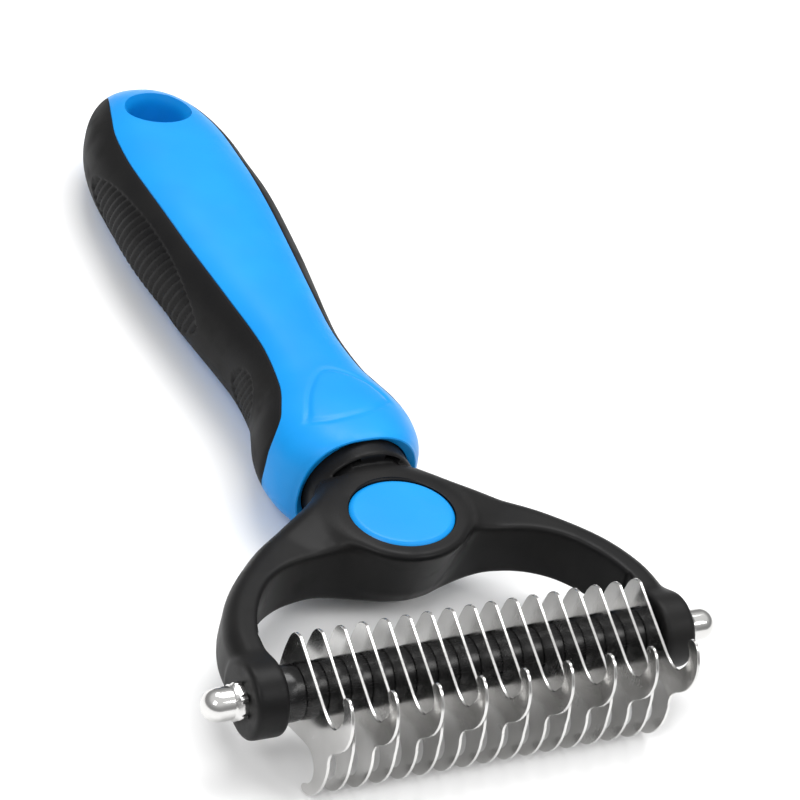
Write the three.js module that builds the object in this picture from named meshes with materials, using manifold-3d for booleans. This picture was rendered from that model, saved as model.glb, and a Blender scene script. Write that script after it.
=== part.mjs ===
// A pet deshedding and dematting rake: toothed plates clamped on a rod between the arms of a
// black fork, with a two-colour moulded handle. Millimetres, +Z up, +Y towards the handle's end.
import * as THREE from "three";
import { mergeVertices } from "three/addons/utils/BufferGeometryUtils.js";
import Module from "manifold-3d";

const wasm = await Module();
wasm.setup();

// Plate pack on the rod
const PLATES = 17;
const PITCH = 4.5;
const PLATE_THICK = 0.6;
const PACK_CENTRE_X = 0.67;
const ROD_R = 2.0;
const BORE_R = 2.35;
const SPACER_R = 5.4;
const ROD_HALF = 51.5;

// Fork
const EAR_INNER_X = 39.75;
const EAR_OUTER_X = 46.3;
const LOBE_R = 7.5;
const FORK_THICK = 11.8;
const FORK_ROUND = 1.8;

// Badge
const BADGE_X = 10.7;
const BADGE_Y = 9.3;
const BADGE_CENTRE_Y = 33.3;
const BOSS_MARGIN = 3.2;
const BOSS_TOP_Z = 8.8;
const BADGE_TOP_Z = 9.0;
const BADGE_FOOT_Z = 5.6;

// Acorn nuts, M4 pattern
const NUT_FLATS = 7.0;
const NUT_HEX_HEIGHT = 2.2;
const NUT_NECK_HEIGHT = 2.7;
const NUT_DOME_R = 3.15;
const NUT_BORE_DEPTH = 5.6;
const NUT_TURN = THREE.MathUtils.degToRad(39);

// Handle
const COLLAR_Y = 51.0;
const HANDLE_END_Y = 179.8;
const END_ROUND_Y = 148.0;
const SOCKET_R = 11.7;
const PLUG_R = 11.3;
const PLUG_FRONT_Y = 47.6;
const PLUG_BACK_Y = 60.0;
const TANG_BACK_Y = 98.0;
const HOLE_Y = 164.2;
const HOLE_X_HALF = 6.6;
const HOLE_Y_HALF = 5.4;
const GRIP_GAP = 0.15;

// The tool lies on its lower teeth and on the handle's swell, which tips it down at the back.
const REST_TILT = THREE.MathUtils.degToRad(-1.45);

const material = (color, roughness, metalness = 0) =>
  new THREE.MeshStandardMaterial({ color, roughness, metalness });
const blackPlastic = () => material(0x1b1b1c, 0.55);
const blackRubber = () => material(0x141415, 0.7);
const bluePlastic = () => material(0x2b9bf4, 0.4);
const glossBlack = () => material(0x101011, 0.25);
const polishedSteel = () => material(0xd5d5d3, 0.15, 1);

const tool = new THREE.Group();
tool.rotation.x = REST_TILT;

function addPiece(name, geometry, pieceMaterial) {
  const mesh = new THREE.Mesh(geometry, pieceMaterial);
  mesh.name = name;
  tool.add(mesh);
  return mesh;
}

// A closed geometry as a solid that can be joined and cut.
function toSolid(geometry) {
  const bare = geometry.index ? geometry.toNonIndexed() : geometry.clone();
  bare.deleteAttribute("normal");
  bare.deleteAttribute("uv");
  const merged = mergeVertices(bare, 1e-4);
  const mesh = new wasm.Mesh({
    numProp: 3,
    vertProperties: new Float32Array(merged.attributes.position.array),
    triVerts: new Uint32Array(merged.index.array),
  });
  return new wasm.Manifold(mesh);
}

function toGeometry(solid) {
  const mesh = solid.getMesh();
  const geometry = new THREE.BufferGeometry();
  geometry.setAttribute("position", new THREE.BufferAttribute(mesh.vertProperties, 3));
  geometry.setIndex(new THREE.BufferAttribute(mesh.triVerts, 1));
  geometry.computeVertexNormals();
  return geometry;
}

// A ring of points in the XZ plane at y: a superellipse with half-width a and half-height b.
function section(y, a, b, power, midZ, sides) {
  const ring = [];
  for (let i = 0; i < sides; i += 1) {
    const angle = (i / sides) * Math.PI * 2;
    const c = Math.cos(angle);
    const s = Math.sin(angle);
    const x = a * Math.sign(c) * Math.abs(c) ** (2 / power);
    const z = b * Math.sign(s) * Math.abs(s) ** (2 / power);
    ring.push(new THREE.Vector3(x, y, midZ + z));
  }
  return ring;
}

// A closed skin over rings of equal length that follow each other along +Y.
function loft(rings) {
  const sides = rings[0].length;
  const positions = [];
  const index = [];
  rings.forEach((ring) => ring.forEach((p) => positions.push(p.x, p.y, p.z)));
  for (let r = 0; r + 1 < rings.length; r += 1) {
    for (let i = 0; i < sides; i += 1) {
      const j = (i + 1) % sides;
      const a = r * sides + i;
      const b = r * sides + j;
      index.push(a, a + sides, b, b, a + sides, b + sides);
    }
  }
  [0, rings.length - 1].forEach((r) => {
    const hub = positions.length / 3;
    const middle = new THREE.Vector3();
    rings[r].forEach((p) => middle.addScaledVector(p, 1 / sides));
    positions.push(middle.x, middle.y, middle.z);
    for (let i = 0; i < sides; i += 1) {
      const a = r * sides + i;
      const b = r * sides + ((i + 1) % sides);
      if (r === 0) index.push(hub, a, b);
      else index.push(hub, b, a);
    }
  });
  const geometry = new THREE.BufferGeometry();
  geometry.setAttribute("position", new THREE.Float32BufferAttribute(positions, 3));
  geometry.setIndex(index);
  geometry.computeVertexNormals();
  return geometry;
}

// A solid of revolution about the X axis; the profile is [radius, x] pairs with x falling.
function turnedOnX(profile, sides) {
  const points = profile.map(([r, x]) => new THREE.Vector2(r, -x));
  const geometry = new THREE.LatheGeometry(points, sides);
  geometry.rotateZ(Math.PI / 2);
  return geometry;
}

function smoothOutline(points, divisions) {
  const curve = new THREE.SplineCurve(points.map(([x, y]) => new THREE.Vector2(x, y)));
  return curve.getPoints(divisions);
}

function prism(points, lowZ, highZ) {
  const geometry = new THREE.ExtrudeGeometry(new THREE.Shape(points), {
    depth: highZ - lowZ,
    bevelEnabled: false,
  });
  geometry.translate(0, 0, lowZ);
  return geometry;
}

const mirrored = (points) => points.map((p) => new THREE.Vector2(-p.x, p.y)).reverse();

// ---- Toothed plates, drawn in their own plane: first coordinate along Y, second along Z ----

function plateOutline(hooked) {
  const outline = new THREE.Shape();
  // Rounded tail and sloping back
  outline.moveTo(7.4, 0);
  outline.quadraticCurveTo(7.3, 4.2, 6.6, 7.2);
  outline.bezierCurveTo(6.1, 9.7, 5.0, 10.9, 3.1, 10.9);
  outline.lineTo(-9.6, 5.8);
  if (hooked) {
    // Hook that rises in front and leans back at its tip
    outline.bezierCurveTo(-12.0, 4.7, -14.8, 4.2, -15.8, 5.9);
    outline.bezierCurveTo(-17.2, 8.2, -18.4, 10.6, -15.4, 12.3);
    outline.bezierCurveTo(-15.2, 13.6, -16.6, 15.2, -18.5, 13.6);
    outline.bezierCurveTo(-21.6, 10.6, -21.8, 5.4, -17.5, 1.4);
    outline.quadraticCurveTo(-15.2, -0.9, -16.4, -3.4);
  } else {
    outline.bezierCurveTo(-13.6, 4.2, -16.4, 2.6, -16.4, -3.4);
  }
  // Lower tooth, curved back to its tip, then the straight belly
  outline.bezierCurveTo(-17.3, -7.8, -15.2, -13.4, -11.2, -14.9);
  outline.bezierCurveTo(-9.6, -15.3, -9.5, -14.0, -10.4, -13.4);
  outline.bezierCurveTo(-13.6, -11.0, -13.3, -6.8, -10.0, -5.7);
  outline.bezierCurveTo(-8.2, -5.2, -5.0, -6.8, -0.9, -8.0);
  outline.lineTo(3.1, -9.6);
  outline.bezierCurveTo(5.4, -10.2, 6.4, -8.4, 6.9, -5.0);
  outline.quadraticCurveTo(7.4, -2.0, 7.4, 0);
  return outline;
}

function plateGeometry(hooked) {
  const outline = plateOutline(hooked);
  const bore = new THREE.Path();
  bore.absarc(0, 0, BORE_R, 0, Math.PI * 2, false);
  outline.holes.push(bore);
  const geometry = new THREE.ExtrudeGeometry(outline, {
    depth: PLATE_THICK,
    bevelEnabled: false,
    curveSegments: 5,
  });
  geometry.translate(0, 0, -PLATE_THICK / 2);
  // Plane (first, second) and thickness become Y, Z and X.
  geometry.rotateX(Math.PI / 2);
  geometry.rotateZ(Math.PI / 2);
  return geometry;
}

function ringGeometry(length) {
  const half = length / 2;
  return turnedOnX(
    [
      [BORE_R, half],
      [SPACER_R, half],
      [SPACER_R, -half],
      [BORE_R, -half],
      [BORE_R, half],
    ],
    16,
  );
}

function addPack() {
  const middle = (PLATES + 1) / 2;
  for (let k = 1; k <= PLATES; k += 1) {
    const x = PACK_CENTRE_X + (k - middle) * PITCH;
    const number = String(k).padStart(2, "0");
    addPiece(`blade_${number}`, plateGeometry(k % 2 === 1), polishedSteel()).position.x = x;
    if (k < PLATES) {
      const spacer = addPiece(`spacer_${number}`, ringGeometry(PITCH - PLATE_THICK), glossBlack());
      spacer.position.x = x + PITCH / 2;
    }
  }
  const reach = ((PLATES - 1) / 2) * PITCH + PLATE_THICK / 2;
  const ends = [
    ["end_spacer_left", -EAR_INNER_X, PACK_CENTRE_X - reach],
    ["end_spacer_right", PACK_CENTRE_X + reach, EAR_INNER_X],
  ];
  ends.forEach(([name, from, to]) => {
    addPiece(name, ringGeometry(to - from), glossBlack()).position.x = (from + to) / 2;
  });
}

function addRod() {
  const profile = [
    [0, ROD_HALF],
    [ROD_R - 0.4, ROD_HALF],
    [ROD_R, ROD_HALF - 0.4],
    [ROD_R, -ROD_HALF + 0.4],
    [ROD_R - 0.4, -ROD_HALF],
    [0, -ROD_HALF],
  ];
  addPiece("clamp_rod", turnedOnX(profile, 16), polishedSteel());
}

// An acorn nut whose seat is at x = 0 and whose dome points along +X.
function nutGeometry() {
  const hex = new THREE.CylinderGeometry(1, 1, NUT_HEX_HEIGHT, 6);
  const corner = NUT_FLATS / 2 / Math.cos(Math.PI / 6);
  hex.scale(corner, 1, corner);
  hex.rotateZ(-Math.PI / 2);
  hex.translate(NUT_HEX_HEIGHT / 2, 0, 0);
  hex.rotateX(NUT_TURN);
  const chamfer = turnedOnX(
    [
      [0, NUT_HEX_HEIGHT],
      [corner - 0.5, NUT_HEX_HEIGHT],
      [corner + 0.1, NUT_HEX_HEIGHT - 0.4],
      [corner + 0.1, 0],
      [0, 0],
    ],
    18,
  );
  const neckEnd = NUT_HEX_HEIGHT + NUT_NECK_HEIGHT;
  const dome = [];
  for (let i = 0; i <= 5; i += 1) {
    const angle = (i / 5) * (Math.PI / 2);
    const r = i === 0 ? 0 : NUT_DOME_R * Math.sin(angle);
    dome.push([r, neckEnd + NUT_DOME_R * Math.cos(angle)]);
  }
  dome.push([NUT_DOME_R, 1], [0, 1]);
  const bore = turnedOnX(
    [
      [0, NUT_BORE_DEPTH],
      [BORE_R, NUT_BORE_DEPTH],
      [BORE_R, -1],
      [0, -1],
    ],
    16,
  );
  const nut = toSolid(hex)
    .intersect(toSolid(chamfer))
    .add(toSolid(turnedOnX(dome, 18)))
    .subtract(toSolid(bore));
  return toGeometry(nut);
}

function addNuts() {
  addPiece("acorn_nut_right", nutGeometry(), polishedSteel()).position.x = EAR_OUTER_X;
  const left = addPiece("acorn_nut_left", nutGeometry(), polishedSteel());
  left.position.x = -EAR_OUTER_X;
  left.rotation.y = Math.PI;
}

// ---- Fork ----

const FORK_OUTER = [
  [46.3, -4.5],
  [46.1, 6],
  [44.9, 14.2],
  [40.4, 23],
  [32.2, 31.6],
  [24.6, 37.1],
  [17.4, 41.4],
  [13.6, 44.6],
  [10.6, 48.4],
];
const FORK_INNER = [
  [0, 24.3],
  [4.6, 25],
  [9.6, 26.8],
  [15.3, 27.9],
  [22, 27.5],
  [27.5, 26],
  [32.5, 22.8],
  [36.4, 17.8],
  [38.9, 12.2],
  [39.8, 7],
  [39.8, -4.5],
];

// An oval disc centred on the badge, chamfered above and narrowing downwards to the foot
function ovalDisc(xHalf, yHalf, lowZ, highZ, chamfer, foot = 1) {
  const profile = [
    [0, lowZ],
    [foot, lowZ],
    [1, highZ - chamfer],
    [1 - chamfer / 10, highZ],
    [0, highZ],
  ];
  const points = profile.map(([r, z]) => new THREE.Vector2(r, z));
  const geometry = new THREE.LatheGeometry(points, 30);
  geometry.rotateX(Math.PI / 2);
  geometry.scale(xHalf, yHalf, 1);
  geometry.translate(0, BADGE_CENTRE_Y, 0);
  return geometry;
}

// An arc-shaped vent cut into the plug's front, between two angles about the Y axis.
function ventSlot(fromDeg, toDeg) {
  const inner = 9.7;
  const outer = 10.9;
  const from = THREE.MathUtils.degToRad(fromDeg);
  const to = THREE.MathUtils.degToRad(toDeg);
  const arc = new THREE.Shape();
  arc.absarc(0, 0, outer, from, to, false);
  arc.absarc(0, 0, inner, to, from, true);
  const geometry = new THREE.ExtrudeGeometry(arc, {
    depth: 4,
    bevelEnabled: false,
    curveSegments: 6,
  });
  geometry.rotateX(Math.PI / 2);
  geometry.translate(0, PLUG_FRONT_Y + 3, 0);
  return toSolid(geometry);
}

function forkGeometry() {
  const outer = smoothOutline(FORK_OUTER, 20);
  const inner = smoothOutline(FORK_INNER, 20);
  const loop = [...outer, ...mirrored(outer), ...mirrored(inner).slice(0, -1), ...inner];
  const web = new THREE.ExtrudeGeometry(new THREE.Shape(loop), {
    depth: FORK_THICK - 2 * FORK_ROUND,
    bevelEnabled: true,
    bevelThickness: FORK_ROUND,
    bevelSize: FORK_ROUND,
    bevelOffset: -FORK_ROUND,
    bevelSegments: 2,
  });
  web.translate(0, 0, FORK_ROUND - FORK_THICK / 2);
  let fork = toSolid(web);

  const lobe = turnedOnX(
    [
      [0, EAR_OUTER_X],
      [LOBE_R - 1.2, EAR_OUTER_X],
      [LOBE_R, EAR_OUTER_X - 1.2],
      [LOBE_R, EAR_INNER_X + 0.6],
      [LOBE_R - 0.6, EAR_INNER_X],
      [0, EAR_INNER_X],
    ],
    28,
  );
  const rodHole = turnedOnX(
    [
      [0, EAR_OUTER_X + 1],
      [BORE_R, EAR_OUTER_X + 1],
      [BORE_R, EAR_INNER_X - 1],
      [0, EAR_INNER_X - 1],
    ],
    16,
  );
  const half = (geometry) => toSolid(geometry.clone().rotateZ(Math.PI));

  // Raised oval boss round the badge
  const boss = ovalDisc(BADGE_X + BOSS_MARGIN, BADGE_Y + BOSS_MARGIN, -5, BOSS_TOP_Z, 1.4, 0.74);

  // Swelling on both faces, then the neck that carries the fork into the handle
  const swell = new THREE.SphereGeometry(1, 24, 12);
  swell.scale(25, 13.5, 8.1);
  swell.translate(0, 37, 0);
  const neckStations = [
    [34, 10, 6.4],
    [40, 12.2, 7.6],
    [44, 10.6, 8.6],
    [47.2, 9.4, 8.8],
    [49, 8.8, 8.6],
  ];
  const neck = loft(neckStations.map(([y, a, b]) => section(y, a, b, 2.6, 0, 24)));
  const plug = loft([
    section(PLUG_FRONT_Y, PLUG_R - 0.8, PLUG_R - 0.8, 2, 0, 28),
    section(PLUG_FRONT_Y + 0.8, PLUG_R, PLUG_R, 2, 0, 28),
    section(PLUG_BACK_Y, PLUG_R, PLUG_R, 2, 0, 28),
  ]);
  const tang = loft([
    section(PLUG_BACK_Y - 1, 7, 6, 4, 0, 12),
    section(TANG_BACK_Y - 2, 5.6, 5, 4, 0.4, 12),
    section(TANG_BACK_Y, 4.6, 4, 4, 0.4, 12),
  ]);
  const withinOutline = toSolid(prism(loop, -10, 10));
  fork = fork.add(toSolid(swell).intersect(withinOutline));
  [boss, neck, plug, tang].forEach((geometry) => {
    fork = fork.add(toSolid(geometry));
  });
  fork = fork.add(toSolid(lobe)).add(half(lobe));
  fork = fork.subtract(toSolid(rodHole)).subtract(half(rodHole));
  fork = fork.subtract(ventSlot(105, 162)).subtract(ventSlot(55, 76));
  const pocket = ovalDisc(BADGE_X + 0.4, BADGE_Y + 0.4, BADGE_FOOT_Z - 0.3, 12, 0);
  return toGeometry(fork.subtract(toSolid(pocket)));
}

function addFork() {
  addPiece("head_fork", forkGeometry(), blackPlastic());
  const badge = ovalDisc(BADGE_X, BADGE_Y, BADGE_FOOT_Z, BADGE_TOP_Z, 0.9);
  addPiece("badge", badge, bluePlastic());
}

// ---- Handle ----

// [y, half-width, half-height] from the collar's mouth to the start of the rounded end
const HANDLE_STATIONS = [
  [COLLAR_Y, 12.5, 12.4],
  [52.5, 13.9, 12.7],
  [56, 15.7, 12.8],
  [61, 16.5, 12.6],
  [66, 16, 12.1],
  [71, 14.3, 11.6],
  [76, 12.8, 11.3],
  [86, 12, 11.3],
  [95, 12.9, 11.4],
  [104, 14.3, 11.5],
  [116, 16, 11.7],
  [128, 17.4, 12],
  [138, 17.7, 12.1],
  [END_ROUND_Y, 17.2, 12],
];

function handleGeometry() {
  const spline = new THREE.CatmullRomCurve3(
    HANDLE_STATIONS.map(([y, a, b]) => new THREE.Vector3(y, a, b)),
    false,
    "centripetal",
  );
  const last = HANDLE_STATIONS[HANDLE_STATIONS.length - 1];
  // The middle rises from the fork's plane to 1 mm above it behind the waist.
  const midZ = (y) => THREE.MathUtils.smoothstep(y, COLLAR_Y, 78);
  const rings = spline.getPoints(22).map((p) => section(p.x, p.y, p.z, 2.4, midZ(p.x), 28));
  const steps = 7;
  for (let i = 1; i <= steps; i += 1) {
    const u = Math.sin((i / steps) * (Math.PI / 2) * 0.985);
    const y = END_ROUND_Y + u * (HANDLE_END_Y - END_ROUND_Y);
    const a = last[1] * (1 - u ** 2.1) ** (1 / 2.1);
    const b = last[2] * (1 - u ** 3.2) ** (1 / 2.2);
    rings.push(section(y, a, b, 2.4, midZ(y), 28));
  }
  return loft(rings);
}

// Half of the blue spine in plan: it flares into the collar and narrows past the hang hole.
const SPINE_HALF = [
  [20, 58.2],
  [16.6, 59.5],
  [13.4, 62.8],
  [11.7, 66.2],
  [9.6, 72],
  [8.4, 80],
  [8.2, 88],
  [9.4, 102],
  [11.2, 122],
  [12.4, 143],
  [12, 156],
  [10.2, 164],
  [7.6, 172],
  [5, 179],
  [3.5, 184],
];

function spinePrism(grow) {
  const edge = smoothOutline(SPINE_HALF, 30).map((p) => new THREE.Vector2(p.x + grow, p.y));
  edge[0].y += grow;
  const front = new THREE.Vector2(edge[0].x, 40);
  const half = [front, ...edge];
  return toSolid(prism([...half, ...mirrored(half)], -20, 20));
}

function hangHole() {
  const profile = [];
  for (let i = 0; i <= 6; i += 1) {
    const z = 16 * (i / 3 - 1);
    profile.push(new THREE.Vector2(1 + 0.22 * (z / 12) ** 4, z));
  }
  profile.unshift(new THREE.Vector2(0, -16));
  profile.push(new THREE.Vector2(0, 16));
  const geometry = new THREE.LatheGeometry(profile, 24);
  geometry.rotateX(Math.PI / 2);
  geometry.scale(HOLE_X_HALF, HOLE_Y_HALF, 1);
  geometry.translate(0.4, HOLE_Y, 0);
  return toSolid(geometry);
}

function addHandle() {
  const body = toSolid(handleGeometry());
  const socket = loft([
    section(COLLAR_Y - 2, SOCKET_R, SOCKET_R, 2, 0, 28),
    section(PLUG_BACK_Y + 0.3, SOCKET_R, SOCKET_R, 2, 0, 28),
  ]);
  const tangSlot = loft([
    section(PLUG_BACK_Y - 1, 7.4, 6.4, 4, 0, 12),
    section(TANG_BACK_Y + 0.5, 6, 5.4, 4, 0.4, 12),
  ]);
  const core = body
    .intersect(spinePrism(0))
    .subtract(toSolid(socket))
    .subtract(toSolid(tangSlot))
    .subtract(hangHole());
  addPiece("handle_core", toGeometry(core), bluePlastic());

  const sides = body.subtract(spinePrism(GRIP_GAP));
  const across = (sign) => {
    const x = sign * 20;
    const corners = [
      [x - 20, 40],
      [x + 20, 40],
      [x + 20, 200],
      [x - 20, 200],
    ];
    return toSolid(prism(corners.map(([px, py]) => new THREE.Vector2(px, py)), -30, 30));
  };
  addPiece("grip_left", toGeometry(sides.intersect(across(-1))), blackRubber());
  addPiece("grip_right", toGeometry(sides.intersect(across(1))), blackRubber());
}

addFork();
addRod();
addNuts();
addPack();
addHandle();

// The origin is under the middle of the tool, on the surface that it lies on.
const group = new THREE.Group();
group.add(tool);
tool.updateMatrixWorld(true);
const box = new THREE.Box3().setFromObject(tool, true);
const middle = box.getCenter(new THREE.Vector3());
tool.position.set(-middle.x, -middle.y, -box.min.z);

export default group;
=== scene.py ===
"""Deshedding tool: fine surfaces, materials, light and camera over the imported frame."""
import math

import bpy
import numpy as np
from mathutils import Matrix, Vector


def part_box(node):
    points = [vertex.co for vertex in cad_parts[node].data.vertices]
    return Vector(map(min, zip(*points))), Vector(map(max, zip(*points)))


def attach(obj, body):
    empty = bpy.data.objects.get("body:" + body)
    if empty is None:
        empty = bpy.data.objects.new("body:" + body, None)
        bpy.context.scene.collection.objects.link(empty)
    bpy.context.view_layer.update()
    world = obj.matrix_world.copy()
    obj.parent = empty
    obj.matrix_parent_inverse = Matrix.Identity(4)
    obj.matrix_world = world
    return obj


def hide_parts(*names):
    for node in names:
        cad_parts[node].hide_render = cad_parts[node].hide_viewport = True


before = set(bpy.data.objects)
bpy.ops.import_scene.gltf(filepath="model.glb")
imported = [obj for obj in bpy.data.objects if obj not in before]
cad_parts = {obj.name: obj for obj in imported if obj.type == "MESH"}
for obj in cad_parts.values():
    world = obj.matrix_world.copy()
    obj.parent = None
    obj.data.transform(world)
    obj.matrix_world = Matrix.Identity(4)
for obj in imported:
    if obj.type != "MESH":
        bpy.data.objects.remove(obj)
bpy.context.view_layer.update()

# ---- The tool's own frame: rod axis along X, handle along +Y, millimetres ----

REST_TILT = math.radians(-1.45)
low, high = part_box("clamp_rod")
ROD_CENTRE = (low + high) / 2
TOOL = Matrix.Translation(ROD_CENTRE) @ Matrix.Rotation(REST_TILT, 4, "X") @ Matrix.Scale(0.001, 4)

PLATES = 17
PITCH = 4.5
PLATE_THICK = 0.6
PACK_CENTRE_X = 0.67
BORE_R = 2.35
SPACER_R = 5.4
EAR_INNER_X = 39.75
EAR_OUTER_X = 46.3
LOBE_R = 7.5
FORK_HALF = 6.1
NECK_TOP = 9.4
NECK_HALF_Z = 8.7
NECK_MIDDLE_Y = 44.2
NECK_HALF_Y = 4.2
NECK_POWER = 2.6
SWELL = 2.3
PLUG_R = 11.3
PLUG_FRONT_Y = 47.6
PLUG_END_Y = 61.0
SOCKET_R = 11.6
SOCKET_FLOOR_Y = 60.3
BADGE_X = 10.7
BADGE_Y = 9.3
BADGE_CENTRE_Y = 33.3
BOSS_MARGIN = 3.2
BOSS_TOP_Z = 8.8
BOSS_TAPER = 0.275
BADGE_TOP_Z = 9.0
BADGE_FOOT_Z = 5.8
POCKET_FLOOR_Z = 5.4
COLLAR_Y = 51.0
END_ROUND_Y = 148.0
HANDLE_END_Y = 179.8
HOLE_Y = 164.2
HOLE_X = 0.4
HOLE_X_HALF = 6.1
HOLE_Y_HALF = 5.8
HANDLE_MIDDLE_Z = 1.0
SECTION_POWER = 2.4
GRIP_START_Y = 58.3
GRIP_DEPTH = 1.5
CORE_SINK = 1.7
SEAM_SINK = 0.35
SEAM_END = 0.05  # section angle in radians below which there is no grip


# ---- Mesh helpers ----


def piece(name, verts, faces, material, nodes, sharp_deg=35.0):
    """A mesh from millimetre points in the tool's frame, riding on the root body."""
    mesh = bpy.data.meshes.new(name)
    points = np.asarray(verts, float)
    mesh.from_pydata(points.tolist(), [], [list(f) for f in faces])
    mesh.transform(TOOL)
    mesh.update()
    mesh.shade_smooth()
    mesh.set_sharp_from_angle(angle=math.radians(sharp_deg))
    obj = bpy.data.objects.new(name, mesh)
    bpy.context.scene.collection.objects.link(obj)
    mesh.materials.append(material)
    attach(obj, "root")
    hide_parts(*nodes)
    return obj


def revolve(profile, sides):
    """Closed surface about +X; the (radius, x) points end on the axis or close on themselves."""
    verts = []
    faces = []
    closed = profile[0] == profile[-1]
    points = profile[:-1] if closed else profile
    rings = []
    for r, x in points:
        if r < 1e-6:
            rings.append([len(verts)])
            verts.append((x, 0.0, 0.0))
            continue
        ring = []
        for i in range(sides):
            a = 2 * math.pi * i / sides
            ring.append(len(verts))
            verts.append((x, r * math.cos(a), r * math.sin(a)))
        rings.append(ring)
    pairs = list(zip(rings, rings[1:]))
    if closed:
        pairs.append((rings[-1], rings[0]))
    for a, b in pairs:
        for i in range(sides):
            j = (i + 1) % sides
            if len(a) == 1:
                faces.append((a[0], b[j], b[i]))
            elif len(b) == 1:
                faces.append((a[i], a[j], b[0]))
            else:
                faces.append((a[i], a[j], b[j], b[i]))
    return np.array(verts), faces


def grid_faces(rows, cols, wrap, start=0):
    """Quads over a grid of points; wrap joins the last column to the first."""
    faces = []
    last = cols if wrap else cols - 1
    for r in range(rows - 1):
        for c in range(last):
            d = (c + 1) % cols
            a = start + r * cols
            faces.append((a + c, a + cols + c, a + cols + d, a + d))
    return faces


def catmull(points, steps):
    """Smooth curve through the points, steps samples for each span."""
    p = np.asarray(points, float)
    p = np.vstack([2 * p[0] - p[1], p, 2 * p[-1] - p[-2]])
    out = []
    for i in range(1, len(p) - 2):
        for k in range(steps):
            t = k / steps
            a, b, c, d = p[i - 1], p[i], p[i + 1], p[i + 2]
            out.append(
                0.5
                * (
                    2 * b
                    + (c - a) * t
                    + (2 * a - 5 * b + 4 * c - d) * t**2
                    + (3 * b - a - 3 * c + d) * t**3
                )
            )
    out.append(p[-2])
    return np.array(out)


def smoothstep(x, lo, hi):
    t = np.clip((x - lo) / (hi - lo), 0, 1)
    return t * t * (3 - 2 * t)


def surface_net(field, origin, step):
    """Quads where a sampled signed distance field crosses zero (naive surface nets)."""
    inside = field < 0
    nx, ny, nz = field.shape
    corners = [(i, j, k) for i in (0, 1) for j in (0, 1) for k in (0, 1)]
    total = np.zeros((nx - 1, ny - 1, nz - 1), np.uint8)
    for i, j, k in corners:
        total += inside[i : nx - 1 + i, j : ny - 1 + j, k : nz - 1 + k]
    cell = np.argwhere((total > 0) & (total < 8))
    index = -np.ones((nx - 1, ny - 1, nz - 1), np.int64)
    index[tuple(cell.T)] = np.arange(len(cell))
    acc = np.zeros((len(cell), 3))
    hits = np.zeros(len(cell))
    for axis in range(3):
        for base in corners:
            if base[axis]:
                continue
            end = list(base)
            end[axis] = 1
            a = field[tuple((cell + base).T)]
            b = field[tuple((cell + end).T)]
            cross = (a < 0) != (b < 0)
            t = np.where(cross, a / np.where(cross, a - b, 1), 0)
            point = np.tile(np.array(base, float), (len(cell), 1))
            point[:, axis] += t
            acc[cross] += point[cross]
            hits[cross] += 1
    verts = (cell + acc / hits[:, None]) * step + origin
    faces = []
    for axis in range(3):
        u, v = (axis + 1) % 3, (axis + 2) % 3
        near = [slice(1, -1)] * 3
        far = [slice(1, -1)] * 3
        near[axis] = slice(0, -1)
        far[axis] = slice(1, None)
        a = inside[tuple(near)]
        b = inside[tuple(far)]
        for rising in (True, False):
            edge = np.argwhere((a & ~b) if rising else (~a & b))
            edge = edge + np.array([0 if k == axis else 1 for k in range(3)])
            quad = []
            for du, dv in ((0, 0), (1, 0), (1, 1), (0, 1)):
                e = edge.copy()
                e[:, u] -= du
                e[:, v] -= dv
                quad.append(index[tuple(e.T)])
            quad = np.stack(quad, 1)
            if not rising:
                quad = quad[:, ::-1]
            faces.append(quad[(quad >= 0).all(1)])
    return verts, np.vstack(faces)


# ---- Materials ----


def new_material(name, base, roughness, metallic=0.0):
    mat = bpy.data.materials.new(name)
    mat.use_nodes = True
    tree = mat.node_tree
    shader = tree.nodes["Principled BSDF"]
    shader.inputs["Base Color"].default_value = (*base, 1)
    shader.inputs["Roughness"].default_value = roughness
    shader.inputs["Metallic"].default_value = metallic
    return mat, tree, shader


def node(tree, kind, **values):
    made = tree.nodes.new(kind)
    for key, value in values.items():
        if hasattr(made, key):
            setattr(made, key, value)
        else:
            made.inputs[key.replace("_", " ")].default_value = value
    return made


def noise(tree, scale, detail=3.0, stretch=(1, 1, 1)):
    """Noise in the object's own coordinates; scale is in cycles per metre."""
    coord = node(tree, "ShaderNodeTexCoord")
    mapping = node(tree, "ShaderNodeMapping", Scale=stretch)
    tex = node(tree, "ShaderNodeTexNoise", Scale=scale, Detail=detail)
    tree.links.new(coord.outputs["Object"], mapping.inputs["Vector"])
    tree.links.new(mapping.outputs["Vector"], tex.inputs["Vector"])
    return tex


def ramp(tree, source, stops):
    made = node(tree, "ShaderNodeValToRGB")
    elements = made.color_ramp.elements
    for i, (at, colour) in enumerate(stops):
        e = elements[i] if i < 2 else elements.new(at)
        e.position = at
        e.color = (*colour, 1)
    tree.links.new(source, made.inputs["Fac"])
    return made.outputs["Color"]


def spread(tree, source, lo, hi, start=0.3, end=0.7):
    """Maps the part of a noise between start and end to the range from lo to hi."""
    made = node(tree, "ShaderNodeMapRange", From_Min=start, From_Max=end, To_Min=lo, To_Max=hi)
    tree.links.new(source, made.inputs["Value"])
    return made.outputs["Result"]


def bump(tree, shader, sources):
    """Chains bumps: sources are (height socket, distance in metres, strength)."""
    last = None
    for height, distance, strength in sources:
        made = node(tree, "ShaderNodeBump", Distance=distance, Strength=strength)
        tree.links.new(height, made.inputs["Height"])
        if last:
            tree.links.new(last, made.inputs["Normal"])
        last = made.outputs["Normal"]
    tree.links.new(last, shader.inputs["Normal"])


def scuffs(tree, lo, hi):
    """Sparse rubbed patches: 0 on most of the surface, rising where it has been handled."""
    worn = noise(tree, 140, 5)
    return spread(tree, worn.outputs["Fac"], lo, hi, 0.52, 0.72)


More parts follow.
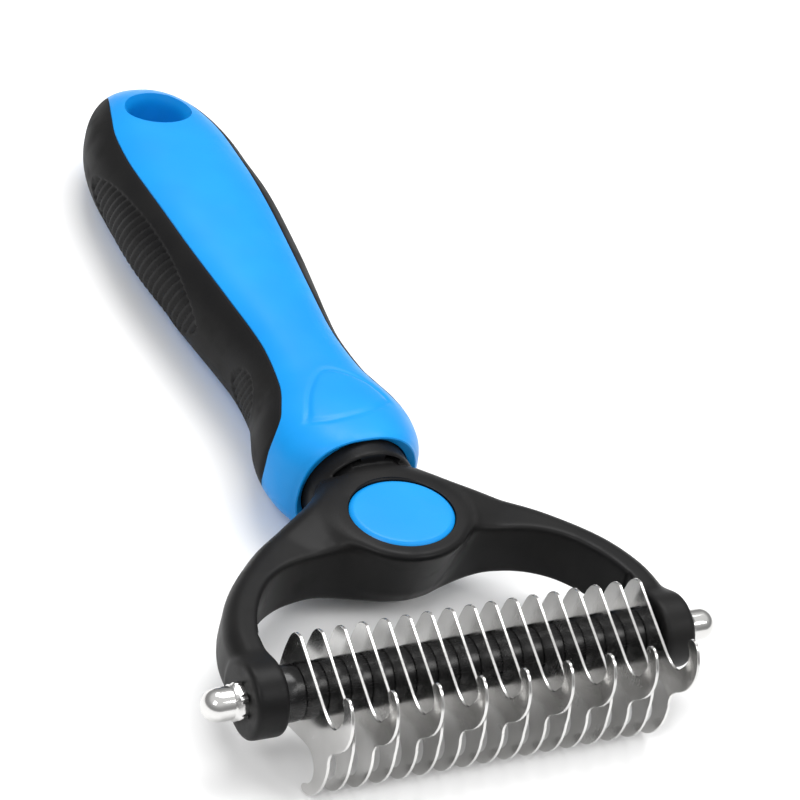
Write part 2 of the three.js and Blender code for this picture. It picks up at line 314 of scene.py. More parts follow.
def add_up(tree, a, b):
    """Sum of two sockets."""
    made = node(tree, "ShaderNodeMath", operation="ADD")
    tree.links.new(a, made.inputs[0])
    tree.links.new(b, made.inputs[1])
    return made.outputs["Value"]


def blue_plastic():
    mat, tree, shader = new_material("blue_satin_plastic", (0.003, 0.25, 0.66), 0.36)
    broad = noise(tree, 60, 2)
    fine = noise(tree, 2600, 2)
    tint = [(0.3, (0.002, 0.235, 0.635)), (0.7, (0.004, 0.265, 0.69))]
    tree.links.new(ramp(tree, broad.outputs["Fac"], tint), shader.inputs["Base Color"])
    rough = add_up(tree, spread(tree, fine.outputs["Fac"], 0.32, 0.4), scuffs(tree, 0, 0.14))
    tree.links.new(rough, shader.inputs["Roughness"])
    bump(tree, shader, [(fine.outputs["Fac"], 0.00002, 0.3), (broad.outputs["Fac"], 0.0003, 0.05)])
    shader.inputs["Specular IOR Level"].default_value = 0.22
    return mat


def black_plastic():
    mat, tree, shader = new_material("black_matt_plastic", (0.009, 0.009, 0.0095), 0.45)
    broad = noise(tree, 90, 3)
    grain = noise(tree, 3200, 3)
    tint = [(0.3, (0.0055, 0.0055, 0.006)), (0.7, (0.0095, 0.0092, 0.009))]
    tree.links.new(ramp(tree, broad.outputs["Fac"], tint), shader.inputs["Base Color"])
    rough = add_up(tree, spread(tree, broad.outputs["Fac"], 0.36, 0.46), scuffs(tree, 0, 0.16))
    tree.links.new(rough, shader.inputs["Roughness"])
    bump(tree, shader, [(grain.outputs["Fac"], 0.00003, 0.45)])
    shader.inputs["Specular IOR Level"].default_value = 0.13
    return mat


def black_rubber():
    mat, tree, shader = new_material("black_soft_rubber", (0.008, 0.008, 0.0085), 0.6)
    broad = noise(tree, 70, 3)
    grain = noise(tree, 2400, 4)
    tint = [(0.3, (0.005, 0.005, 0.0055)), (0.7, (0.0085, 0.0083, 0.0082))]
    tree.links.new(ramp(tree, broad.outputs["Fac"], tint), shader.inputs["Base Color"])
    rough = add_up(tree, spread(tree, broad.outputs["Fac"], 0.5, 0.62), scuffs(tree, 0, 0.12))
    tree.links.new(rough, shader.inputs["Roughness"])
    bump(tree, shader, [(grain.outputs["Fac"], 0.00004, 0.5)])
    shader.inputs["Specular IOR Level"].default_value = 0.12
    return mat


def gloss_black():
    mat, tree, shader = new_material("black_gloss_plastic", (0.005, 0.005, 0.006), 0.2)
    smear = noise(tree, 500, 3, (1, 4, 4))
    rough = add_up(tree, spread(tree, smear.outputs["Fac"], 0.2, 0.29), scuffs(tree, 0, 0.1))
    tree.links.new(rough, shader.inputs["Roughness"])
    tint = [(0.3, (0.004, 0.004, 0.0045)), (0.7, (0.008, 0.008, 0.0085))]
    tree.links.new(ramp(tree, smear.outputs["Fac"], tint), shader.inputs["Base Color"])
    bump(tree, shader, [(smear.outputs["Fac"], 0.00003, 0.2)])
    shader.inputs["Specular IOR Level"].default_value = 0.4
    return mat


def polished_steel(name, brushed, rough):
    """Stainless steel; brushed stretches the fine scratches along one axis."""
    mat, tree, shader = new_material(name, (0.62, 0.615, 0.605), rough, 1.0)
    scratch = noise(tree, 900, 4, brushed)
    cloud = noise(tree, 110, 2)
    tint = [(0.3, (0.57, 0.565, 0.555)), (0.7, (0.68, 0.675, 0.665))]
    tree.links.new(ramp(tree, cloud.outputs["Fac"], tint), shader.inputs["Base Color"])
    marks = spread(tree, scratch.outputs["Fac"], rough * 0.75, rough * 1.3)
    tree.links.new(add_up(tree, marks, scuffs(tree, 0, 0.1)), shader.inputs["Roughness"])
    bump(tree, shader, [(scratch.outputs["Fac"], 0.00001, 0.12)])
    return mat


BLUE = blue_plastic()
BLACK = black_plastic()
RUBBER = black_rubber()
GLOSS = gloss_black()
PLATE_STEEL = polished_steel("polished_plate_steel", (1, 6, 1), 0.18)
NUT_STEEL = polished_steel("polished_nut_steel", (6, 1, 1), 0.12)


# ---- Toothed plates ----


def bezier(points, steps):
    """Points along a quadratic or cubic Bezier, without its first point."""
    p = [np.array(q, float) for q in points]
    out = []
    for i in range(1, steps + 1):
        t = i / steps
        layer = p
        while len(layer) > 1:
            layer = [(1 - t) * a + t * b for a, b in zip(layer, layer[1:])]
        out.append(layer[0])
    return out


def plate_outline(hooked):
    """The plate's outline in the YZ plane, the same curves as its CAD solid."""
    runs = [
        [(7.4, 0), (7.3, 4.2), (6.6, 7.2)],
        [(6.6, 7.2), (6.1, 9.7), (5.0, 10.9), (3.1, 10.9)],
        [(3.1, 10.9), (-9.6, 5.8)],
    ]
    if hooked:
        runs += [
            [(-9.6, 5.8), (-12.0, 4.7), (-14.8, 4.2), (-15.8, 5.9)],
            [(-15.8, 5.9), (-17.2, 8.2), (-18.4, 10.6), (-15.4, 12.3)],
            [(-15.4, 12.3), (-15.2, 13.6), (-16.6, 15.2), (-18.5, 13.6)],
            [(-18.5, 13.6), (-21.6, 10.6), (-21.8, 5.4), (-17.5, 1.4)],
            [(-17.5, 1.4), (-15.2, -0.9), (-16.4, -3.4)],
        ]
    else:
        runs += [[(-9.6, 5.8), (-13.6, 4.2), (-16.4, 2.6), (-16.4, -3.4)]]
    runs += [
        [(-16.4, -3.4), (-17.3, -7.8), (-15.2, -13.4), (-11.2, -14.9)],
        [(-11.2, -14.9), (-9.6, -15.3), (-9.5, -14.0), (-10.4, -13.4)],
        [(-10.4, -13.4), (-13.6, -11.0), (-13.3, -6.8), (-10.0, -5.7)],
        [(-10.0, -5.7), (-8.2, -5.2), (-5.0, -6.8), (-0.9, -8.0)],
        [(-0.9, -8.0), (3.1, -9.6)],
        [(3.1, -9.6), (5.4, -10.2), (6.4, -8.4), (6.9, -5.0)],
        [(6.9, -5.0), (7.4, -2.0), (7.4, 0)],
    ]
    points = []
    for run in runs:
        points += bezier(run, 2 if len(run) == 2 else 14)
    return np.array(points)


def inward_normals(loop):
    """Unit normals that point into a closed loop, at its points."""
    tangent = np.roll(loop, -1, 0) - np.roll(loop, 1, 0)
    normal = np.stack([-tangent[:, 1], tangent[:, 0]], 1)
    normal /= np.linalg.norm(normal, axis=1)[:, None]
    nxt = np.roll(loop, -1, 0)
    area = np.sum(loop[:, 0] * nxt[:, 1] - loop[:, 1] * nxt[:, 0])
    return normal if area > 0 else -normal


def plate_mesh(hooked):
    """Extruded outline with a fine rounded edge, as (x, y, z) points and faces."""
    loop = plate_outline(hooked)
    normal = inward_normals(loop)
    edge = 0.11
    half = PLATE_THICK / 2
    levels = [(-half, edge), (-half + edge * 0.35, edge * 0.35), (-half + edge, 0)]
    levels += [(-x, inset) for x, inset in reversed(levels)]
    verts = []
    for x, inset in levels:
        ring = loop + normal * inset
        verts += [(x, y, z) for y, z in ring]
    n = len(loop)
    faces = grid_faces(len(levels), n, True)
    faces.append(tuple(range(n)))
    top = (len(levels) - 1) * n
    faces.append(tuple(top + i for i in reversed(range(n))))
    return np.array(verts), faces


def plate_x(k):
    """Middle of plate k along the rod, counted from 1 at the left."""
    return PACK_CENTRE_X + (k - (PLATES + 1) / 2) * PITCH


def add_plates():
    meshes = {hooked: plate_mesh(hooked) for hooked in (True, False)}
    for k in range(1, PLATES + 1):
        verts, faces = meshes[k % 2 == 1]
        placed = verts + np.array([plate_x(k), 0, 0])
        nodes = [f"blade_{k:02d}"]
        piece(f"plate_{k:02d}", placed, faces, PLATE_STEEL, nodes, 26)


def ring_mesh(length):
    """A crowned roller: the middle stands a little prouder than the rounded ends."""
    half = length / 2 - 0.02
    soft = 0.22
    crown = 0.14
    shoulder = SPACER_R - crown
    profile = [(BORE_R, -half), (shoulder - soft, -half)]
    for i in range(1, 5):
        a = math.radians(90 * i / 5)
        profile.append((shoulder - soft + soft * math.sin(a), -half + soft - soft * math.cos(a)))
    for i in range(7):
        u = -1 + i / 6
        profile.append((SPACER_R - crown * u * u, u * (half - soft)))
    profile += [(r, -x) for r, x in reversed(profile[:-1])]
    profile.append(profile[0])
    return revolve(profile, 64)


def add_spacers():
    verts, faces = ring_mesh(PITCH - PLATE_THICK)
    for k in range(1, PLATES):
        shift = np.array([plate_x(k) + PITCH / 2, 0, 0])
        piece(f"roller_{k:02d}", verts + shift, faces, GLOSS, [f"spacer_{k:02d}"])
    reach = (PLATES - 1) / 2 * PITCH + PLATE_THICK / 2
    spans = {
        "left": (-EAR_INNER_X, PACK_CENTRE_X - reach),
        "right": (PACK_CENTRE_X + reach, EAR_INNER_X),
    }
    for side, (start, end) in spans.items():
        verts, faces = ring_mesh(end - start)
        shift = np.array([(start + end) / 2, 0, 0])
        name = f"end_roller_{side}"
        piece(name, verts + shift, faces, GLOSS, [f"end_spacer_{side}"])


# ---- Acorn nuts ----

NUT_CORNER = 3.5 / math.cos(math.pi / 6)
NUT_HEX = 2.2
NUT_NECK = 2.7
NUT_DOME_R = 3.15
NUT_TURN = math.radians(39)


def nut_mesh():
    """Hexagon with chamfered corners below a turned neck and dome, seat at x = 0."""
    sides = 96
    levels = [(0.0, 0.35), (0.32, 0.0), (NUT_HEX - 0.5, 0.0), (NUT_HEX, 0.55)]
    verts = []
    for x, chamfer in levels:
        for i in range(sides):
            a = 2 * math.pi * i / sides
            off = (a + math.pi / 6) % (math.pi / 3) - math.pi / 6
            flat = NUT_CORNER * math.cos(math.pi / 6) / math.cos(math.pi / 6 - abs(off))
            r = min(flat, NUT_CORNER - 0.12 - chamfer)
            turned = a + NUT_TURN
            verts.append((x, r * math.sin(turned), r * math.cos(turned)))
    faces = grid_faces(len(levels), sides, True)
    faces.append(tuple(range(sides)))
    faces.append(tuple(reversed(range(len(verts) - sides, len(verts)))))
    neck_end = NUT_HEX + NUT_NECK
    foot_r = NUT_DOME_R + 0.25
    dome = [(0, NUT_HEX - 0.6), (foot_r, NUT_HEX - 0.6), (foot_r, NUT_HEX)]
    dome += [(NUT_DOME_R, NUT_HEX + 0.3), (NUT_DOME_R, neck_end)]
    for i in range(1, 13):
        a = math.radians(90 * i / 12)
        dome.append((NUT_DOME_R * math.cos(a) if i < 12 else 0, neck_end + NUT_DOME_R * math.sin(a)))
    dome_verts, dome_faces = revolve(dome, 64)
    start = len(verts)
    faces += [tuple(start + k for k in f) for f in dome_faces]
    return np.vstack([np.array(verts), dome_verts]), faces


def add_nuts():
    verts, faces = nut_mesh()
    right = verts + np.array([EAR_OUTER_X, 0, 0])
    left = verts * np.array([-1, -1, 1]) - np.array([EAR_OUTER_X, 0, 0])
    piece("cap_nut_right", right, faces, NUT_STEEL, ["acorn_nut_right"], 25)
    piece("cap_nut_left", left, faces, NUT_STEEL, ["acorn_nut_left"], 25)


# ---- Fork ----

FORK_OUTER = [
    (46.3, -4.5), (46.1, 6), (44.9, 14.2), (40.4, 23), (32.2, 31.6),
    (24.6, 37.1), (17.4, 41.4), (13.6, 44.6), (10.6, 48.4),
]
FORK_INNER = [
    (0, 24.3), (4.6, 25), (9.6, 26.8), (15.3, 27.9), (22, 27.5), (27.5, 26),
    (32.5, 22.8), (36.4, 17.8), (38.9, 12.2), (39.8, 7), (39.8, -4.5),
]


def fork_loops():
    """The fork's outside in plan, and the gap between its arms, open at the front."""
    outer = catmull(FORK_OUTER, 6)
    inner = np.vstack([catmull(FORK_INNER, 6), [(39.8, -30)]])
    flip = np.array([-1, 1])
    outside = np.vstack([outer, (outer * flip)[::-1]])
    return outside, np.vstack([(inner * flip)[::-1][:-1], inner])


def segment_distance(x, y, ax, ay, bx, by):
    """Distance from points to the straight segment from a to b."""
    dx, dy = bx - ax, by - ay
    t = np.clip(((x - ax) * dx + (y - ay) * dy) / (dx * dx + dy * dy + 1e-12), 0, 1)
    return np.hypot(x - ax - t * dx, y - ay - t * dy)


def loop_distance(loop, px, py):
    """Signed distance from points to a closed loop, negative inside."""
    best = np.full(px.shape, 1e9)
    inside = np.zeros(px.shape, bool)
    for (ax, ay), (bx, by) in zip(loop, np.roll(loop, -1, 0)):
        best = np.minimum(best, segment_distance(px, py, ax, ay, bx, by))
        if ay != by:
            hit = ((ay > py) != (by > py)) & (px < (bx - ax) * (py - ay) / (by - ay) + ax)
            inside ^= hit
    return np.where(inside, -best, best)


def smooth_min(a, b, k):
    """Union of two distance fields, blended over the distance k."""
    h = np.clip(0.5 + 0.5 * (b - a) / k, 0, 1)
    return b + (a - b) * h - k * h * (1 - h)


def rounded_join(a, b, r):
    """Intersection of two distance fields whose shared edge has radius r."""
    u = np.maximum(a + r, 0)
    v = np.maximum(b + r, 0)
    return np.minimum(np.maximum(a, b) + r, 0) + np.hypot(u, v) - r


def fork_field(X, Y, Z):
    """Distance field of the fork: arms and bridge, boss, two lobes, neck and plug."""
    flat_x, flat_y = X[:, :, 0], Y[:, :, 0]
    outside, gap = fork_loops()
    outer = loop_distance(outside, flat_x, flat_y)[:, :, None]
    inner = -loop_distance(gap, flat_x, flat_y)[:, :, None]
    # Half-thickness: flat arms, a swell round the badge, rising into the neck
    swell = np.clip(1 - (flat_x / 25) ** 2 - ((flat_y - 37) / 15) ** 2, 0, 1)
    height = FORK_HALF + SWELL * smoothstep(swell, 0, 0.85)
    rise = smoothstep(flat_y, 42, 48) * (1 - smoothstep(np.abs(flat_x), 2, 11))
    height = height + (NECK_TOP - FORK_HALF - SWELL) * rise
    half = height[:, :, None]
    web = rounded_join(outer, np.abs(Z) - half, 3.4)
    web = rounded_join(web, inner, 1.0)
    # Raised oval boss round the badge, narrower towards its foot
    boss_x = BADGE_X + BOSS_MARGIN
    boss_y = BADGE_Y + BOSS_MARGIN
    oval = (np.hypot(X / boss_x, (Y - BADGE_CENTRE_Y) / boss_y) - 1) * boss_y
    taper = BOSS_TAPER * (BOSS_TOP_Z - 1.4 - Z)
    boss = rounded_join(oval + np.maximum(taper, 0), np.maximum(Z - BOSS_TOP_Z, -5 - Z), 1.6)
    web = smooth_min(web, boss, 3.0)
    web = rounded_join(web, Z - BOSS_TOP_Z, 1.0)
    # Round ends of the arms, on the rod
    ear_middle = (EAR_INNER_X + EAR_OUTER_X) / 2
    ear_half = (EAR_OUTER_X - EAR_INNER_X) / 2
    lobe_end = np.abs(np.abs(X) - ear_middle) - ear_half
    lobe = rounded_join(np.hypot(Y, Z) - LOBE_R, lobe_end, 1.0)
    body = smooth_min(web, lobe, 1.6)
    # Neck, a rounded box that narrows towards the handle
    narrow = np.interp(Y[0, :, 0], [40, 44, 47.2, 49], [12.2, 10.6, 9.4, 8.8])[None, :, None]
    power_x = np.abs(X / narrow) ** NECK_POWER
    power_z = np.abs(Z / NECK_HALF_Z) ** NECK_POWER
    neck_side = ((power_x + power_z) ** (1 / NECK_POWER) - 1) * NECK_HALF_Z
    neck = rounded_join(neck_side, np.abs(Y - NECK_MIDDLE_Y) - NECK_HALF_Y, 1.2)
    body = smooth_min(body, neck, 2.0)
    # Round plug in the handle's collar
    plug_middle = (PLUG_FRONT_Y + PLUG_END_Y) / 2
    plug_half = (PLUG_END_Y - PLUG_FRONT_Y) / 2
    plug = rounded_join(np.hypot(X, Z) - PLUG_R, np.abs(Y - plug_middle) - plug_half, 0.6)
    body = smooth_min(body, plug, 0.5)
    # Flat outer and inner faces of the arms, where the nuts and the pack sit
    body = np.maximum(body, np.abs(X) - EAR_OUTER_X)
    body = np.maximum(body, np.where(Y < 11, EAR_INNER_X - np.abs(X), -9))
    return body


def cutter_from(verts, faces, material):
    """A throwaway object to cut with, in the material of the object that it cuts."""
    mesh = bpy.data.meshes.new("cutter")
    mesh.from_pydata(np.asarray(verts).tolist(), [], faces)
    mesh.transform(TOOL)
    mesh.materials.append(material)
    cutter = bpy.data.objects.new("cutter", mesh)
    bpy.context.scene.collection.objects.link(cutter)
    return cutter


def cut(obj, cutter, sharp_deg=35.0):
    """Cuts the cutter out of obj and applies obj's modifiers, leaving none."""
    made = obj.modifiers.new("cut", "BOOLEAN")
    made.operation = "DIFFERENCE"
    made.solver = "EXACT"
    made.object = cutter
    graph = bpy.context.evaluated_depsgraph_get()
    mesh = bpy.data.meshes.new_from_object(obj.evaluated_get(graph))
    obj.modifiers.clear()
    old = obj.data
    obj.data = mesh
    bpy.data.meshes.remove(old)
    bpy.data.objects.remove(cutter)
    mesh.shade_smooth()
    mesh.set_sharp_from_angle(angle=math.radians(sharp_deg))


def oval_upright(profile, x_half, y_half, x, y):
    """Turned profile stood on end as an oval; profile holds (relative radius, z)."""
    verts, faces = revolve(profile, 96)
    placed = np.stack([verts[:, 1] * x_half + x, verts[:, 2] * y_half + y, verts[:, 0]], 1)
    return placed, faces


def pocket_cutter():
    """The badge's pocket, with a small chamfer where it meets the boss."""
    wall = 1.018
    mouth = wall + 0.03
    above = 12.0
    profile = [(0.0, POCKET_FLOOR_Z), (wall, POCKET_FLOOR_Z), (wall, BOSS_TOP_Z - 0.12)]
    profile += [(mouth, BOSS_TOP_Z + 0.15), (mouth, above), (0.0, above)]
    return cutter_from(*oval_upright(profile, BADGE_X, BADGE_Y, 0, BADGE_CENTRE_Y), BLACK)


VENT_INNER_R = 9.75
VENT_OUTER_R = 10.85
VENT_FRONT_Y = 46.4
VENT_BACK_Y = 50.4
LEFT_VENT = (105, 162)
RIGHT_VENT = (55, 76)


def vent_cutter(start, end):
    """An arc-shaped slot in the plug's front, between two angles about the Y axis."""
    steps = 28
    section = [(VENT_INNER_R, VENT_FRONT_Y), (VENT_OUTER_R, VENT_FRONT_Y)]
    section += [(VENT_OUTER_R, VENT_BACK_Y), (VENT_INNER_R, VENT_BACK_Y)]
    verts = []
    for i in range(steps + 1):
        a = math.radians(start + (end - start) * i / steps)
        for radius, y in section:
            verts.append((radius * math.cos(a), y, radius * math.sin(a)))
    faces = []
    for i in range(steps):
        for k in range(4):
            j = (k + 1) % 4
            faces.append((4 * i + k, 4 * i + j, 4 * i + 4 + j, 4 * i + 4 + k))
    faces.append((3, 2, 1, 0))
    faces.append(tuple(4 * steps + k for k in range(4)))
    return cutter_from(verts, faces, BLACK)


def add_fork():
    step = 0.36
    room = 1.5
    low_corner = np.array([-EAR_OUTER_X, -LOBE_R, -PLUG_R]) - room
    high_corner = np.array([EAR_OUTER_X, PLUG_END_Y, PLUG_R]) + room
    axes = [np.arange(a, b, step) for a, b in zip(low_corner, high_corner)]
    X, Y, Z = np.meshgrid(*axes, indexing="ij")
    verts, faces = surface_net(fork_field(X, Y, Z), low_corner, step)
    fork = piece("fork", verts, faces.tolist(), BLACK, ["head_fork"], 60)
    smooth = fork.modifiers.new("settle", "SMOOTH")
    smooth.factor = 0.5
    smooth.iterations = 3
    cut(fork, pocket_cutter(), 45)
    cut(fork, vent_cutter(*LEFT_VENT), 45)
    cut(fork, vent_cutter(*RIGHT_VENT), 45)


def add_badge():
    """The badge as a turned oval: relative radius and height up its chamfered rim."""
    foot, top = BADGE_FOOT_Z, BADGE_TOP_Z
    profile = [(0.0, foot), (1.0, foot), (1.0, top - 0.7), (0.985, top - 0.5)]
    profile += [(0.935, top - 0.14), (0.92, top - 0.08), (0.87, top - 0.05), (0.5, top), (0.0, top)]
    placed, faces = oval_upright(profile, BADGE_X, BADGE_Y, 0, BADGE_CENTRE_Y)
    piece("badge_cap", placed, faces, BLUE, ["badge"], 22)


# ---- Handle ----

STATIONS = [
    (COLLAR_Y, 12.5, 12.4), (52.5, 13.9, 12.7), (56, 15.7, 12.8), (61, 16.5, 12.6),
    (66, 16, 12.1), (71, 14.3, 11.6), (76, 12.8, 11.3), (86, 12, 11.3), (95, 12.9, 11.4),
    (104, 14.3, 11.5), (116, 16, 11.7), (128, 17.4, 12), (138, 17.7, 12.1),
    (END_ROUND_Y, 17.2, 12),
]
SPINE_HALF = [
    (20, 58.2), (16.6, 59.5), (13.4, 62.8), (11.7, 66.2), (9.6, 72), (8.4, 80), (8.2, 88),
    (9.4, 102), (11.2, 122), (12.4, 143), (12, 156), (10.2, 164), (7.6, 172), (5, 179), (3.5, 184),
]
THUMB_PAD = [
    (-9.5, 59), (-5.3, 67.6), (0.2, 72.7), (7.2, 68.6), (9.7, 63), (8, 61), (2.6, 58.4), (-4.7, 57.6),
]
BODY_CURVE = catmull(STATIONS, 10)
SPINE_CURVE = catmull(SPINE_HALF, 10)


def half_width(y):
    u = np.clip((y - END_ROUND_Y) / (HANDLE_END_Y - END_ROUND_Y), 0, 1)
    return np.interp(y, BODY_CURVE[:, 0], BODY_CURVE[:, 1]) * (1 - u**2.1) ** (1 / 2.1)


def half_height(y):
    u = np.clip((y - END_ROUND_Y) / (HANDLE_END_Y - END_ROUND_Y), 0, 1)
    return np.interp(y, BODY_CURVE[:, 0], BODY_CURVE[:, 2]) * (1 - u**3.2) ** (1 / 2.2)


def middle_z(y):
    """Height of the section's middle, which rises behind the collar."""
    return HANDLE_MIDDLE_Z * smoothstep(y, COLLAR_Y, 78)


def seam_half(y):
    """Half-width of the blue spine; the whole section is blue in front of the grips."""
    return np.where(y < GRIP_START_Y, 40, np.interp(y, SPINE_CURVE[:, 1], SPINE_CURVE[:, 0]))


def seam_angle(y):
    """Section angle of the seam between the spine and the grip, 0 at the side."""
    ratio = np.clip(seam_half(y) / np.maximum(half_width(y), 1e-6), 0, 1)
    return np.arccos(np.minimum(ratio ** (SECTION_POWER / 2), 1))


def skin_point(y, angle, sink=0.0):
    """Point of the handle's skin at y and section angle, sunk inwards by sink."""
    c, s = np.cos(angle), np.sin(angle)
    a = np.maximum(half_width(y) - sink, 0.01)
    b = np.maximum(half_height(y) - sink, 0.01)
    x = a * np.sign(c) * np.abs(c) ** (2 / SECTION_POWER)
    z = b * np.sign(s) * np.abs(s) ** (2 / SECTION_POWER)
    return np.stack([x, y + 0 * angle, middle_z(y) + z], -1)


def handle_rows():
    """Y of the skin's rings: even along the body, closer together round the end."""
    body = np.arange(COLLAR_Y + 0.4, END_ROUND_Y, 0.5)
    turn = np.sin(np.linspace(0, math.pi / 2, 90))
    return np.concatenate([body, END_ROUND_Y + turn * (HANDLE_END_Y - 0.02 - END_ROUND_Y)])


def closed_curve_distance(points, x, y):
    """Distance to the smooth closed curve through the points, without a sign."""
    curve = catmull(points + points[:1], 8)
    best = np.full(x.shape, 1e9)
    for (ax, ay), (bx, by) in zip(curve, curve[1:]):
        best = np.minimum(best, segment_distance(x, y, ax, ay, bx, by))
    return best


def core_mesh():
    """The blue core's skin, sunk below the grips, with its lip and the socket's wall."""
    rows = handle_rows()
    seam = np.maximum(seam_angle(rows), 0.03)
    top = np.linspace(0, 1, 97)
    side = np.array([0.0, 0.02, 0.06, 0.2, 0.4, 0.6, 0.8, 0.94, 0.98, 1.0])
    rings = []
    for y, phi in zip(rows, seam):
        arc_top = phi + top * (math.pi - 2 * phi)
        arc_left = math.pi - phi + side * 2 * phi
        arc_left = arc_left[1:-1]
        under = [SEAM_SINK] + [CORE_SINK] * (len(side) - 4) + [SEAM_SINK]
        sunk = np.array(under) * (phi > SEAM_END)
        angles = np.concatenate([arc_top, arc_left, arc_top + math.pi, arc_left + math.pi])
        sink = np.concatenate([0 * top, sunk, 0 * top, sunk])
        rings.append(skin_point(y, angles, sink))
    skin = np.array(rings)
    pad = closed_curve_distance(THUMB_PAD, skin[..., 0], skin[..., 1])
    on_top = skin[..., 2] > 4
    line_half, line_depth = 0.55, 0.28
    skin[..., 2] -= np.exp(-((pad / line_half) ** 2)) * line_depth * on_top
    cols = skin.shape[1]
    # Rounded lip, then the socket's wall down to its floor, inwards from the skin's first ring
    first = skin[0]
    lip = []
    for y, shrink in ((COLLAR_Y + 0.12, 0.12), (COLLAR_Y, 0.4), (COLLAR_Y + 0.1, 0.72)):
        ring = first.copy()
        length = np.hypot(ring[:, 0], ring[:, 2])
        ring[:, 0] *= (length - shrink) / length
        ring[:, 2] *= (length - shrink) / length
        ring[:, 1] = y
        lip.append(ring)
    direction = first[:, [0, 2]] / np.hypot(first[:, 0], first[:, 2])[:, None]
    wall = direction * SOCKET_R
    for y in (COLLAR_Y + 0.6, 56.0, SOCKET_FLOOR_Y):
        lip.append(np.stack([wall[:, 0], np.full(cols, y), wall[:, 1]], 1))
    grid = np.concatenate([np.array(lip[::-1]), skin])
    rows_count = grid.shape[0]
    verts = grid.reshape(-1, 3)
    faces = grid_faces(rows_count, cols, True)
    faces.append(tuple(range(cols)))
    faces.append(tuple((rows_count - 1) * cols + i for i in reversed(range(cols))))
    return verts, faces


# Ribbed panels: first and last Y, reach up the side, rib pitch, depth
RIB_PANELS = [(102.0, 154.5, 7.6, 2.1, 0.65), (75.0, 87.0, 5.0, 1.6, 0.45)]
RIB_SLANT = 0.42


def rib_depth(y, z):
    """How far the grip's skin is sunk by the two ribbed panels."""
    depth = 0 * y
    for start, end, reach, pitch, deep in RIB_PANELS:
        u = np.clip((y - start) / (end - start), 0, 1)
        taper = np.sqrt(np.clip(np.sin(math.pi * u), 0, 1))
        limit = reach * taper
        above = z - HANDLE_MIDDLE_Z
        height = np.maximum(above, -0.8 * above)
        inside = smoothstep(limit - height, 0, 0.7) * (u > 0) * (u < 1)
        wave = 0.5 + 0.5 * np.cos(2 * math.pi * (y + RIB_SLANT * z) / pitch)
        depth = depth + inside * deep * (0.3 + 0.7 * wave**1.5)
    return depth


def grip_mesh(sign):
    """One side's rubber: an outer skin with rolled edges and ribs, closed by an inner skin."""
    rows = handle_rows()
    phi = seam_angle(rows)
    rows, phi = rows[phi > SEAM_END], phi[phi > SEAM_END]
    fine = [0.0, 0.004, 0.01, 0.018, 0.028, 0.04]
    across = np.array(fine + list(np.linspace(0.05, 0.95, 110)) + [1 - f for f in reversed(fine)])
    roll = np.interp(np.minimum(across, 1 - across), fine, [0.55, 0.3, 0.15, 0.06, 0.02, 0.0])
    outer = []
    inner = []
    last = len(rows) - 1
    for r, (y, p) in enumerate(zip(rows, phi)):
        a = p * (1 - 2 * across) * 0.995
        from_end = min(r, last - r)
        extra = 0.5 * max(0.0, 1 - from_end / 3) ** 2
        base = skin_point(y, a, roll + extra)
        depth = rib_depth(base[:, 1], base[:, 2])
        outer.append(skin_point(y, a, roll + extra + depth))
        inner.append(skin_point(y, a, GRIP_DEPTH))
    outer = np.array(outer)
    inner = np.array(inner)
    if sign < 0:
        outer[..., 0] *= -1
        inner[..., 0] *= -1
    n_rows, n_cols = outer.shape[:2]
    verts = np.concatenate([outer.reshape(-1, 3), inner.reshape(-1, 3)])
    back = n_rows * n_cols
    faces = [f[::-1] for f in grid_faces(n_rows, n_cols, False)]
    faces += grid_faces(n_rows, n_cols, False, back)
    for r in range(n_rows - 1):
        a, b = r * n_cols, (r + 1) * n_cols
        faces.append((a, b, b + back, a + back))
        a, b = a + n_cols - 1, b + n_cols - 1
        faces.append((b, a, a + back, b + back))
    for c in range(n_cols - 1):
        faces.append((c + 1, c, c + back, c + 1 + back))
        a = (n_rows - 1) * n_cols + c
        faces.append((a, a + 1, a + 1 + back, a + back))
    if sign < 0:
        faces = [tuple(reversed(f)) for f in faces]
    return verts, faces


def hole_cutter():
    """An oval post that flares where it leaves the handle, so that the rim is rounded."""
    steps = 40
    reach = 18
    rim = 1.45
    rim_depth = 2.1
    mean_half = 6.2
    profile = [(0.0, -reach - 1.0)]
    for i in range(steps + 1):
        z = -reach + 2 * reach * i / steps
        away = abs(z - HANDLE_MIDDLE_Z)
        depth = max(0.0, 11.2 - away)
        flare = rim * math.exp(-((depth / rim_depth) ** 2)) + 0.05 * (away / 11) ** 2
        profile.append((1 + flare / mean_half, z))
    profile.append((0.0, reach + 1.0))
    return cutter_from(*oval_upright(profile, HOLE_X_HALF, HOLE_Y_HALF, HOLE_X, HOLE_Y), BLUE)


def add_handle():
    verts, faces = core_mesh()
    core = piece("blue_core", verts, faces, BLUE, ["handle_core"], 35)
    cut(core, hole_cutter())
    for side, sign in (("left", -1), ("right", 1)):
        verts, faces = grip_mesh(sign)
        piece(f"side_grip_{side}", verts, faces, RUBBER, [f"grip_{side}"], 50)


# ---- Floor, light and camera ----


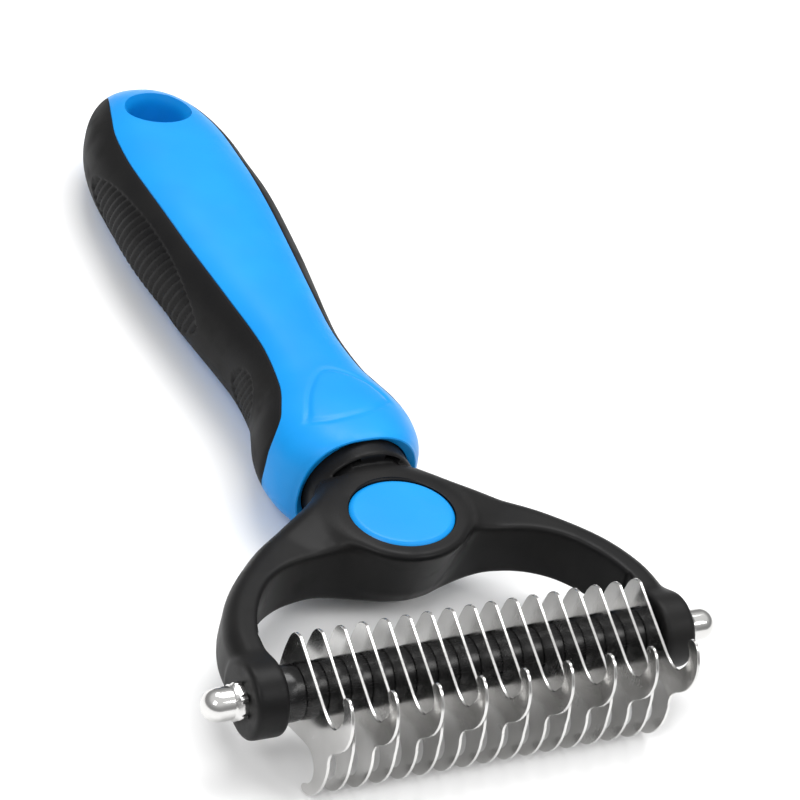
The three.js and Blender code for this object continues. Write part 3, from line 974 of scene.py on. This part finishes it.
def add_camera():
    """The view: aim point, turn, height and roll in the tool's frame, in millimetres."""
    aim = Vector((7.24, 58.44, 0))
    distance = 656.8
    turn = math.radians(-34.2)
    height = math.radians(38.4)
    roll = math.radians(15.2)
    level = math.cos(height)
    back = Vector((level * math.sin(turn), -level * math.cos(turn), math.sin(height)))
    right = (-back).cross(Vector((0, 0, 1))).normalized()
    up = right.cross(-back)
    rolled_right = right * math.cos(roll) + up * math.sin(roll)
    rolled_up = up * math.cos(roll) - right * math.sin(roll)
    turned = Matrix((rolled_right, rolled_up, back)).transposed()
    placed = TOOL @ (aim + back * distance)
    tilt = Matrix.Rotation(REST_TILT, 3, "X")
    data = bpy.data.cameras.new("view")
    data.lens = 148.1
    data.sensor_width = 36
    data.shift_x = 0.0333
    data.shift_y = 0.072
    data.clip_start = 0.05
    camera = bpy.data.objects.new("view", data)
    camera.matrix_world = Matrix.Translation(placed) @ (tilt @ turned).to_4x4()
    bpy.context.scene.collection.objects.link(camera)
    bpy.context.scene.camera = camera


def add_light(name, place, size, power, aim):
    data = bpy.data.lights.new(name, "AREA")
    data.shape = "RECTANGLE"
    data.size, data.size_y = size
    data.energy = power
    light = bpy.data.objects.new(name, data)
    light.location = place
    light.rotation_euler = (Vector(aim) - Vector(place)).to_track_quat("-Z", "Y").to_euler()
    bpy.context.scene.collection.objects.link(light)


def add_studio():
    """Pale floor, a world that is gray at the sides and bright above, and three soft lights."""
    mesh = bpy.data.meshes.new("floor")
    span = 6.0
    corners = [(-span, -span, 0), (span, -span, 0), (span, span, 0), (-span, span, 0)]
    mesh.from_pydata(corners, [], [(0, 1, 2, 3)])
    floor = bpy.data.objects.new("floor", mesh)
    floor.location.z = -0.0002
    bpy.context.scene.collection.objects.link(floor)
    mat, tree, shader = new_material("pale_floor", (0.9, 0.9, 0.9), 0.7)
    mesh.materials.append(mat)
    world = bpy.data.worlds.new("studio")
    bpy.context.scene.world = world
    world.use_nodes = True
    tree = world.node_tree
    sky = tree.nodes["Background"]
    place = node(tree, "ShaderNodeTexCoord")
    split = node(tree, "ShaderNodeSeparateXYZ")
    tree.links.new(place.outputs["Generated"], split.inputs["Vector"])
    # By height: gray walls and a bright ceiling
    bands = [(0.0, (0.7, 0.7, 0.7)), (0.18, (0.36, 0.36, 0.36)), (0.45, (0.5, 0.5, 0.5))]
    bands += [(0.72, (1, 1, 1)), (1.0, (1.1, 1.1, 1.1))]
    tree.links.new(ramp(tree, split.outputs["Z"], bands), sky.inputs["Color"])
    sky.inputs["Strength"].default_value = 0.9
    add_light("key", (0.2, 0.3, 0.9), (0.7, 0.5), 7, (0, 0, 0))
    add_light("edge", (-0.5, -0.36, 0.68), (0.3, 0.3), 2.4, (0, -0.04, 0))
    add_light("front", (0.42, -0.52, 0.66), (0.26, 0.26), 1.6, (0, -0.08, 0))
    bpy.context.scene.view_settings.view_transform = "Standard"


add_camera()
add_studio()
add_plates()
add_spacers()
add_nuts()
add_fork()
add_badge()
add_handle()

# The rod keeps its CAD mesh
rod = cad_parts["clamp_rod"]
rod.data.materials.clear()
rod.data.materials.append(NUT_STEEL)
